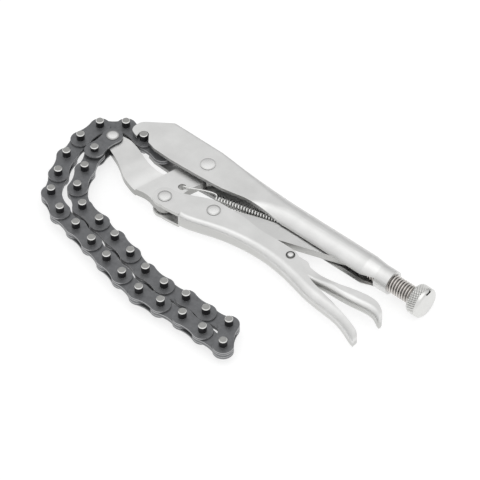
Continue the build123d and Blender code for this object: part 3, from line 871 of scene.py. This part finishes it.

# %% [markdown]
# The knurled rim has painted shade in its grooves, the land and the end face are plain,
# and the mark is painted dark as the shade inside it. These are three finishes on one
# piece, so each face gets one of three slots by where its middle lies.

# %% Finish the knob
MARK_MARGIN_MM = 0.01
RIM_SLOT, PLAIN_SLOT, MARK_SLOT = range(3)
# The groove colour is painted shade in the knurl's grooves.
knob_metal = turned_steel(
    "zinc plated turned knob",
    crest="#FAFAF8",
    groove="#4A4A48",
    end="#E4E4E2",
    crest_radius=knob_radius,
    depth_mm=KNURL_DEPTH_MM,
    rough=0.3,
)
knob_plain = plated_steel("zinc plated turned face", "#E4E4E2", "#DADAD8", rough=0.3, grain=0.1)
# The mark is painted nearly black as the shade inside the narrow slot.
mark_painted_shade = plated_steel("painted shade in the mark", "#3C3C3C", "#303030", rough=0.6, grain=0.1)
for finish in (knob_metal, knob_plain, mark_painted_shade):
    knob.data.materials.append(finish)
margin = MARK_MARGIN_MM * MM
mark_low = Vector([min(corner[i] for corner in mark_corners) - margin for i in range(3)])
mark_high = Vector([max(corner[i] for corner in mark_corners) + margin for i in range(3)])
for face in knob.data.polygons:
    if all(mark_low[i] < face.center[i] < mark_high[i] for i in range(3)):
        face.material_index = MARK_SLOT
    elif face.center.x > knurl_end:
        face.material_index = PLAIN_SLOT
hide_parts("screw_knob")
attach(knob, "knob")
slots = [face.material_index for face in knob.data.polygons]
print("faces in each slot", [slots.count(i) for i in (RIM_SLOT, PLAIN_SLOT, MARK_SLOT)])

# %% [markdown]
# ## White paper
# Catalogue pictures of tools are taken on white sweep paper. The paper is white by its own
# colour. For the camera and for mirroring metal over half of it is plain white, so that it
# stays white where the light falls off and still keeps a faint shadow. A stronger lamp would
# whiten the paper as well, but it would bleach the metal first.

# %% White floor
FLOOR_REACH = 4.0
PLAIN_SHARE = 0.62
PLAIN_STRENGTH = 1.16
FLOOR_CORNERS = [(-1, -1), (1, -1), (1, 1), (-1, 1)]
floor_mesh = bpy.data.meshes.new("white_paper")
floor_mesh.from_pydata(
    [(FLOOR_REACH * a, FLOOR_REACH * b, 0) for a, b in FLOOR_CORNERS], [], [(0, 1, 2, 3)]
)
floor = bpy.data.objects.new("white_paper", floor_mesh)
bpy.context.collection.objects.link(floor)
paper, tree, out = new_finish("white sweep paper")
seen = add_node(tree, "ShaderNodeLightPath")
looked_at = seen.outputs["Is Camera Ray"]
for kind in ("Is Glossy Ray", "Is Transmission Ray"):
    either = add_node(
        tree,
        "ShaderNodeMath",
        [(0, looked_at), (1, seen.outputs[kind])],
        operation="MAXIMUM",
    )
    looked_at = either.outputs[0]
share = add_node(
    tree, "ShaderNodeMath", [(0, looked_at)], [(1, PLAIN_SHARE)], operation="MULTIPLY"
)
matt = add_node(tree, "ShaderNodeBsdfDiffuse", (), [("Color", linear("#FAFAFA"))])
plain = add_node(
    tree, "ShaderNodeEmission", (), [("Color", grey(1)), ("Strength", PLAIN_STRENGTH)]
)
both = add_node(
    tree,
    "ShaderNodeMixShader",
    [(0, share.outputs[0]), (1, matt.outputs[0]), (2, plain.outputs[0])],
)
tree.links.new(both.outputs[0], out.inputs["Surface"])
floor_mesh.materials.append(paper)
print("paper half width m", FLOOR_REACH)

# %% [markdown]
# ## The room
# Metal has hardly any colour of its own: it shows what is around it. So the surroundings do
# the drawing here. The room is bright high up on the side that the tool's long lower edge
# faces, pale where the flat cheeks mirror it, and greyer towards the opposite side, which
# gives the far side of every round a grey rim. An image of a studio would do the same, but
# a ramp from the far side to the bright side is all that these reflections need.

# %% World
BRIGHT_SIDE = Vector((0.38, -0.43, 0.82)).normalized()
SKY_BANDS = [(0.0, 0.32), (0.3, 0.4), (0.5, 0.65), (0.65, 0.84), (0.8, 0.92), (1.0, 0.97)]
world = bpy.data.worlds.new("studio")
bpy.context.scene.world = world
world.use_nodes = True
sky = world.node_tree
sky.nodes.clear()
sky_out = sky.nodes.new("ShaderNodeOutputWorld")
place = add_node(sky, "ShaderNodeTexCoord")
toward = add_node(
    sky,
    "ShaderNodeVectorMath",
    [(0, place.outputs["Generated"])],
    [(1, BRIGHT_SIDE)],
    operation="DOT_PRODUCT",
)
from_far = add_node(
    sky,
    "ShaderNodeMapRange",
    [("Value", toward.outputs["Value"])],
    [("From Min", -1.0), ("From Max", 1.0)],
)
stops = [(nearness, grey(level)) for nearness, level in SKY_BANDS]
levels = add_node(sky, "ShaderNodeValToRGB", [("Fac", from_far.outputs["Result"])], stops=stops)
glow = add_node(
    sky, "ShaderNodeBackground", [("Color", levels.outputs["Color"])], [("Strength", 1.0)]
)
sky.links.new(glow.outputs[0], sky_out.inputs["Surface"])
print("sky levels from the far side to the bright side", SKY_BANDS)

# %% [markdown]
# ## Soft box
# One large soft box hangs nearly straight above, where the near side of each round and each
# broken edge mirrors it. It is weak, because the room already lights the tool: in a
# reflection the two add up, and a stronger lamp would clip the pale zinc to white.

# %% Hang the soft box
BOX_PLACE, BOX_AIM = (0.1, -0.16, 1.5), (0, 0, 0)
BOX_SIZE_M, BOX_WATTS = 1.5, 3.6


def stand(name, data, place, aim):
    """A lamp or a camera at a place, turned to look at a point."""
    made = bpy.data.objects.new(name, data)
    made.location = place
    made.rotation_euler = (Vector(aim) - Vector(place)).to_track_quat("-Z", "Y").to_euler()
    bpy.context.collection.objects.link(made)
    return made


box_lamp = bpy.data.lights.new("sweep_box", "AREA")
box_lamp.energy = BOX_WATTS
box_lamp.shape = "SQUARE"
box_lamp.size = BOX_SIZE_M
stand("sweep_box", box_lamp, BOX_PLACE, BOX_AIM)
print("soft box m", BOX_SIZE_M, "watts", BOX_WATTS)

# %% [markdown]
# ## Camera
# The tool is seen through a long lens from well above, which keeps its lines nearly
# parallel. The camera was fitted to the chain's pins, because their even pitch runs across
# the whole picture. It looks down from 47.5 degrees above the table.

# %% Camera
CAMERA_PLACE = (0.76446, -0.85272, 1.2663)
CAMERA_AIM = (0.01096, 0.01398, 0.0129)
SENSOR_MM, LENS_MM = 36.0, 217.2
SEES_TO_M = 20
camera_data = bpy.data.cameras.new("catalogue")
camera_data.sensor_width = SENSOR_MM
camera_data.lens = LENS_MM
camera_data.clip_end = SEES_TO_M
bpy.context.scene.camera = stand("catalogue", camera_data, CAMERA_PLACE, CAMERA_AIM)
bpy.context.scene.view_settings.view_transform = "Standard"
print("camera distance m", round((Vector(CAMERA_PLACE) - Vector(CAMERA_AIM)).length, 3))
